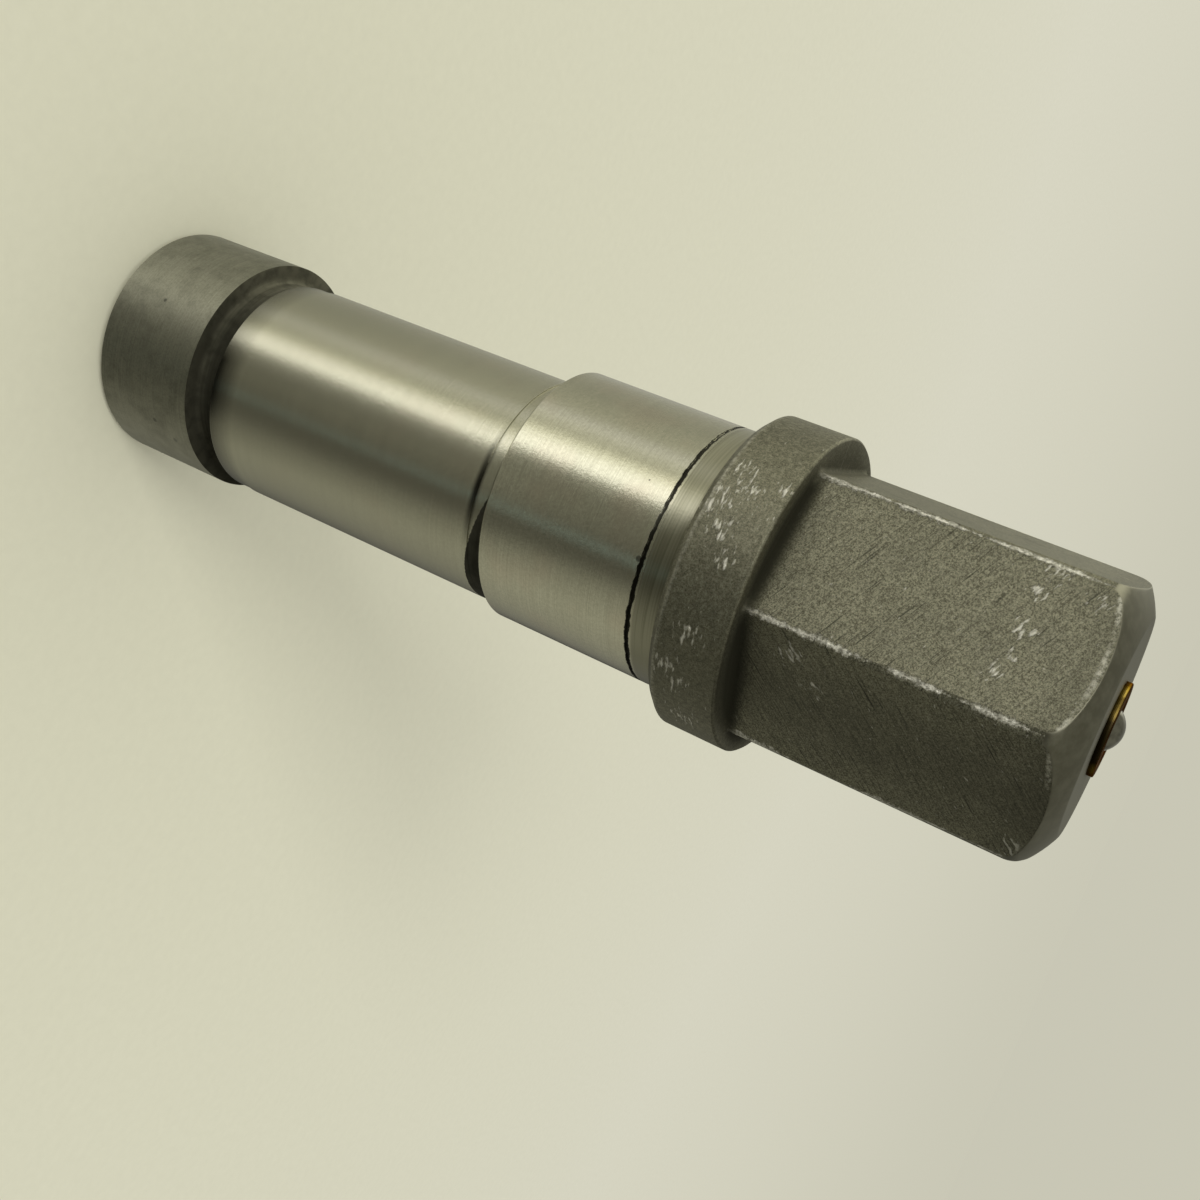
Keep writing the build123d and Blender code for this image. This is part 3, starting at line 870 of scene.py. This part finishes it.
def turned_brass():
    """Free-cutting brass, turned: amber, with fine lines round it, and painted brown-black shade on
    one side and on the collar's face."""
    material, tree = finish("turned_brass", {
        "Metallic": 1, "Specular Tint": linear("#A8812C"),
    })
    place = place_mm(tree)
    azimuth = round_axis(tree, place)[1]
    cloud = add(tree, "TexNoise", {"Vector": place, "Scale": 1, "Detail": 4})
    film = add(tree, "MapRange", {0: cloud, 1: 0.4, 2: 0.7})
    colour = add(tree, "MixRGB", {0: film, 1: linear("#8F7B40"), 2: linear("#5B4A24")})
    # Painted shade: brown-black on one side and on the collar's face.
    brass_shade = band(tree, azimuth, -52, 46)
    on_face = add(tree, "SeparateXYZ", {0: place}).outputs["Z"]
    on_face = add(tree, "MapRange", {0: on_face, 1: collar_face - 0.04, 2: collar_face, 4: 0.3})
    brass_shade = add(tree, "Math", {0: brass_shade, 1: on_face}, operation="MAXIMUM")
    brass_shade = add(tree, "MapRange", {0: brass_shade, 1: 0.05, 2: 0.4, 4: 0.9})
    colour = add(tree, "MixRGB", {0: brass_shade, 1: colour, 2: linear("#2B2418")})
    rings = add(tree, "TexWave", {
        "Vector": place, "Scale": WAVE / BRASS_FEED, "Distortion": 0.4,
    }, wave_type="BANDS", bands_direction="Z")
    roughness = add(tree, "MapRange", {0: cloud, 1: 0.3, 2: 0.7, 3: 0.35, 4: 0.45})
    bump = add(tree, "Bump", {"Height": rings, "Distance": 8e-6, "Strength": 0.6})
    return feed(material, colour, roughness, bump)


lip_turns = [lip_angle * step / LIP_STEPS for step in range(LIP_STEPS + 1)]
lip = [
    (cage_radius * cos(turned), ball_centre + cage_radius * sin(turned)) for turned in lip_turns
]
sleeve_mesh = profile([
    (0, sleeve_bottom + SLEEVE_FLOOR),
    (cage_radius, sleeve_bottom + SLEEVE_FLOOR),
    *lip,
    (collar_radius - COLLAR_BREAK, collar_face),
    (collar_radius, collar_face - COLLAR_BREAK),
    (collar_radius, end_face),
    (BORE_RADIUS, end_face),
    (BORE_RADIUS, sleeve_bottom),
    (0, sleeve_bottom),
])
turn(sleeve_mesh, SLEEVE_COLUMNS)
bmesh.ops.recalc_face_normals(sleeve_mesh, faces=sleeve_mesh.faces)
sleeve_piece = finish_mesh(sleeve_mesh, "brass_sleeve", "root", "plunger_body")
sleeve_piece.data.materials.append(turned_brass())

# ----------------------------------------
# The ball: hardened bearing steel, lapped and polished. It stands nearly a millimetre out of
# the collar and sinks into the sleeve when something presses on it.

BALL_DIVISIONS = 5


def bearing_steel():
    """Lapped bearing steel, a mirror dulled by a film of oil."""
    material, tree = finish("lapped_bearing_steel", {"Metallic": 1})
    film = add(tree, "TexNoise", {"Vector": place_mm(tree), "Scale": 1 / 0.8, "Detail": 3})
    oiled_and_shaded = add(tree, "MapRange", {0: film, 1: 0.4, 2: 0.65})
    colour = add(tree, "MixRGB", {0: oiled_and_shaded, 1: linear("#918F80"), 2: linear("#747266")})
    roughness = add(tree, "MapRange", {0: film, 1: 0.3, 2: 0.7, 3: 0.12, 4: 0.24})
    return feed(material, colour, roughness)


ball_mesh = bmesh.new()
bmesh.ops.create_icosphere(ball_mesh, subdivisions=BALL_DIVISIONS, radius=ball_radius)
bmesh.ops.translate(ball_mesh, verts=ball_mesh.verts, vec=(0, 0, ball_centre))
ball_piece = finish_mesh(ball_mesh, "plunger_steel_ball", "ball", "plunger_ball")
ball_piece.data.materials.append(bearing_steel())

# ----------------------------------------
# The spring: hard-drawn wire, coiled cold into five open turns. It stands on the sleeve's
# floor, out of sight under the ball.

WIRE_RADIUS = 0.3
WIRE_SIDES = 12
COIL_RADIUS = 1.85
COIL_TURNS = 5
COIL_STEPS = 40

spring_low, spring_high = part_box("plunger_spring")
spring_length = spring_high.z - spring_low.z
spring_bottom = spring_low.z / MM + WIRE_RADIUS
spring_rise = spring_length / MM - 2 * WIRE_RADIUS


def drawn_wire():
    """Hard-drawn spring wire: smooth grey steel, faintly clouded."""
    material, tree = finish("hard_drawn_wire", {"Metallic": 1})
    cloud = add(tree, "TexNoise", {"Vector": place_mm(tree), "Scale": 1 / 0.3, "Detail": 3})
    dull = add(tree, "MapRange", {0: cloud, 1: 0.4, 2: 0.65})
    colour = add(tree, "MixRGB", {0: dull, 1: linear("#8E8E8B"), 2: linear("#6C6C69")})
    roughness = add(tree, "MapRange", {0: cloud, 1: 0.3, 2: 0.7, 3: 0.28, 4: 0.38})
    return feed(material, colour, roughness)


spring_mesh = bmesh.new()
bmesh.ops.create_circle(spring_mesh, cap_ends=True, segments=WIRE_SIDES, radius=WIRE_RADIUS)
upright = Matrix.Rotation(pi / 2, 3, "X")
bmesh.ops.rotate(spring_mesh, verts=spring_mesh.verts, cent=(0, 0, 0), matrix=upright)
bmesh.ops.translate(spring_mesh, verts=spring_mesh.verts, vec=(COIL_RADIUS, 0, spring_bottom))
bmesh.ops.spin(
    spring_mesh, geom=spring_mesh.faces[:] + spring_mesh.edges[:] + spring_mesh.verts[:], cent=(0, 0, 0),
    axis=(0, 0, 1), dvec=(0, 0, spring_rise / COIL_TURNS / COIL_STEPS), angle=2 * pi * COIL_TURNS,
    steps=COIL_TURNS * COIL_STEPS, use_merge=False, use_duplicate=False,
)
bmesh.ops.recalc_face_normals(spring_mesh, faces=spring_mesh.faces)
spring_piece = finish_mesh(spring_mesh, "plunger_coil_spring", "root", "plunger_spring")
spring_piece.data.materials.append(drawn_wire())
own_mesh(spring_piece)

# ----------------------------------------
# Floor: a pale cream table top with a faint leathery grain, out to where it isn't seen.
# Metal doesn't reflect it: it shows the room's light instead.

FLOOR_RADIUS = 6000
FLOOR_SIDES = 64
FLOOR_COLOUR = "#DAD8C5"


def laminate():
    """Cream laminate with a pressed grain: matt, with painted shade making it a little darker near where
    the shaft stands.
    """
    material, tree = finish("cream_laminate", {
        "Roughness": 0.7, "Specular IOR Level": 0,
    })
    place = place_mm(tree)
    pressed = add(tree, "TexNoise", {"Vector": place, "Scale": 1 / 1.6, "Detail": 3, "Roughness": 0.6})
    away = add(tree, "VectorMath", {0: place}, operation="LENGTH").outputs["Value"]
    # Painted shade: darker near the shaft, fading out by 400 mm.
    painted_light_mix = add(tree, "MapRange", {0: away, 1: 40, 2: 400})
    colour = add(tree, "MixRGB", {0: painted_light_mix, 1: linear("#D1CFB6"), 2: linear(FLOOR_COLOUR)})
    hollows = add(tree, "MapRange", {0: pressed, 1: 0.3, 2: 0.7, 4: 0.1})
    colour = add(tree, "MixRGB", {0: hollows, 1: colour, 2: linear("#B5B39C")})
    bump = add(tree, "Bump", {"Height": pressed, "Distance": 5e-5, "Strength": 0.35})
    return feed(material, colour, normal=bump)


floor_mesh = bmesh.new()
bmesh.ops.create_circle(floor_mesh, cap_ends=True, segments=FLOOR_SIDES, radius=FLOOR_RADIUS * MM)
floor_data = bpy.data.meshes.new("floor")
floor_mesh.to_mesh(floor_data)
floor_mesh.free()
floor = bpy.data.objects.new("floor", floor_data)
floor.data.materials.append(laminate())
floor.visible_glossy = False
bpy.context.scene.collection.objects.link(floor)

# ----------------------------------------
# Light: a pale room. Metal sees it as a few soft panels round the shaft; the table gets an
# even light and one broad lamp that throws the shadow.

ROOM_LIGHT = 0.85
BRIGHTEST = 3.0
FAR_LIGHT = 0.83
FAR_FLOOR = tuple(FAR_LIGHT * channel for channel in linear(FLOOR_COLOUR))
CEILING = 0.3
# Tints: the room's walls, daylight and the window's edge.
WARM = (1.0, 0.99, 0.86)
WHITE = (1.0, 0.99, 1.0)
COOL = (0.65, 1.0, 1.1)
# The room's rings of light, each by (azimuth in degrees, level, tint).
LOW_PANELS = (
    (-180, 0.45, WARM), (-152, 0.65, WARM), (-141, 1.1, WHITE), (-133, 1.0, WARM),
    (-127, 0.66, WARM), (-119, 1.85, WARM), (-112, 2.4, WHITE), (-101, 2.15, WHITE),
    (-97, 0.38, WARM), (-84, 0.25, WARM),
    (-54, 0.13, WARM), (-47.3, 0.12, WARM), (-46.6, 1.2, COOL), (-45.9, 0.11, WARM), (-34, 0.13, WARM),
    (-12, 0.43, WARM), (20, 0.58, WARM), (50, 0.45, WARM), (78, 0.24, WARM), (92, 0.08, WARM),
    (110, 0.08, WARM), (120, 0.46, WARM), (135, 0.52, WARM), (180, 0.45, WARM),
)
STEEP_PANELS = (
    (-180, 0.45, WARM), (-152, 0.62, WARM), (-141, 1.05, WHITE), (-133, 0.95, WARM),
    (-127, 0.62, WARM), (-119, 1.2, WARM), (-112, 2.1, WHITE), (-101, 2.0, WHITE),
    (-97, 0.4, WARM), (-84, 0.37, WARM), (-70, 0.52, WARM), (-54, 0.46, WARM),
    (-49.3, 0.4, WARM), (-48.6, 1.2, COOL), (-47.9, 0.37, WARM),
    (-38, 0.24, WARM), (-24, 0.1, WARM), (-6, 0.28, WARM), (14, 0.54, WARM), (50, 0.4, WARM),
    (78, 0.18, WARM), (92, 0.08, WARM), (110, 0.08, WARM), (120, 0.46, WARM), (135, 0.5, WARM),
    (180, 0.45, WARM),
)
HIGH_PANELS = (
    (-180, 2.7, WARM), (-150, 2.0, WARM), (-122, 0.8, WARM), (-112, 1.2, WHITE), (-98, 1.0, WHITE),
    (-88, 0.25, WARM), (-50, 0.05, WARM), (60, 0.05, WARM), (95, 0.32, WARM), (112, 0.32, WARM),
    (123, 0.25, WARM), (138, 1.2, WARM), (180, 2.7, WARM),
)
# Where one ring gives way to the next: the sine of the angle above the horizon.
STEEP_START = (-0.47, -0.51)
STEEP_END = (-0.69, -0.65)
HIGH_START = (-0.15, 0.12)
CEILING_START = (0.3, 0.6)

world = bpy.data.worlds.new("room")
bpy.context.scene.world = world
world.use_nodes = True
# Its light is soft all round, so rays find it without a map.
world.cycles.sampling_method = "NONE"
room = world.node_tree
room.nodes.clear()
looking = add(room, "TexCoord").outputs["Generated"]
looking = add(room, "SeparateXYZ", {0: looking}).outputs
around = add(room, "Math", {0: looking["Y"], 1: looking["X"]}, operation="ARCTAN2")
around = add(room, "MapRange", {0: around, 1: -pi, 2: pi})


def shade(level, tint):
    """A light's colour, as a share of the brightest."""
    return (*(level / BRIGHTEST * channel for channel in tint), 1)


def ring_of_panels(panels):
    """Light round the room from (azimuth, level, tint) stops, evenly joined."""
    ramp = add(room, "ValToRGB", {"Fac": around})
    stops = ramp.color_ramp.elements
    for azimuth, level, tint in panels[1:-1]:
        stops.new((azimuth + 180) / 360)
    for stop, (azimuth, level, tint) in zip(stops, panels):
        stop.color = shade(level, tint)
    return ramp


def height_share(reach):
    """How far a look from the metal has come through that reach of heights, from 0 to 1."""
    start, end = reach
    return add(room, "MapRange", {0: looking["Z"], 1: start, 2: end})


steep = height_share(STEEP_START)
steep = add(room, "Math", {0: steep, 1: height_share(STEEP_END)}, operation="MULTIPLY")
reflected = add(room, "MixRGB", {0: steep, 1: ring_of_panels(LOW_PANELS), 2: ring_of_panels(STEEP_PANELS)})
high = ring_of_panels(HIGH_PANELS)
reflected = add(room, "MixRGB", {0: height_share(HIGH_START), 1: reflected, 2: high})
ceiling = shade(CEILING, WARM)
reflected = add(room, "MixRGB", {0: height_share(CEILING_START), 1: reflected, 2: ceiling})
reflected = add(room, "VectorMath", {0: reflected, "Scale": BRIGHTEST}, operation="SCALE")
path = add(room, "LightPath").outputs
even_light = (ROOM_LIGHT, ROOM_LIGHT, ROOM_LIGHT, 1)
seen = add(room, "MixRGB", {0: path["Is Glossy Ray"], 1: even_light, 2: reflected})
seen = add(room, "MixRGB", {0: path["Is Camera Ray"], 1: seen, 2: FAR_FLOOR})
shine = add(room, "Background", {"Color": seen, "Strength": 1})
add(room, "OutputWorld", {"Surface": shine})

KEY_AZIMUTH = radians(-98)
KEY_HEIGHT = radians(38)
KEY_DISTANCE = 1500
KEY_SIZE = 500
KEY_POWER = 8.0

key_light = bpy.data.lights.new("key", "AREA")
key_light.size = KEY_SIZE * MM
key_light.energy = KEY_POWER
key = bpy.data.objects.new("key", key_light)
toward_key = Vector((
    cos(KEY_AZIMUTH) * cos(KEY_HEIGHT), sin(KEY_AZIMUTH) * cos(KEY_HEIGHT), sin(KEY_HEIGHT),
))
key.location = Vector((0, 0, shaft_high.z / 2)) + toward_key * KEY_DISTANCE * MM
key.rotation_euler = toward_key.to_track_quat("Z", "Y").to_euler()
bpy.context.scene.collection.objects.link(key)

# ----------------------------------------
# Camera: about 140 mm from the shaft, above the flange and looking down at it, turned on its
# side so that the shaft lies across the picture.

CAMERA_PLACE = Vector((42.343, -120.264, 117.451))
CAMERA_TARGET = Vector((8.1313, 0, 63.4919))
CAMERA_ROLL = radians(114.106)
LENS = 41.21
SENSOR = 36
NEAREST = 10

camera_data = bpy.data.cameras.new("camera")
camera_data.lens = LENS
camera_data.sensor_width = SENSOR
camera_data.clip_start = NEAREST * MM
camera = bpy.data.objects.new("camera", camera_data)
aim = (CAMERA_TARGET - CAMERA_PLACE).to_track_quat("-Z", "Y").to_matrix().to_4x4()
roll = Matrix.Rotation(CAMERA_ROLL, 4, "Z")
camera.matrix_world = Matrix.Translation(CAMERA_PLACE * MM) @ aim @ roll
bpy.context.scene.collection.objects.link(camera)
bpy.context.scene.camera = camera

bpy.context.scene.view_settings.view_transform = "Standard"
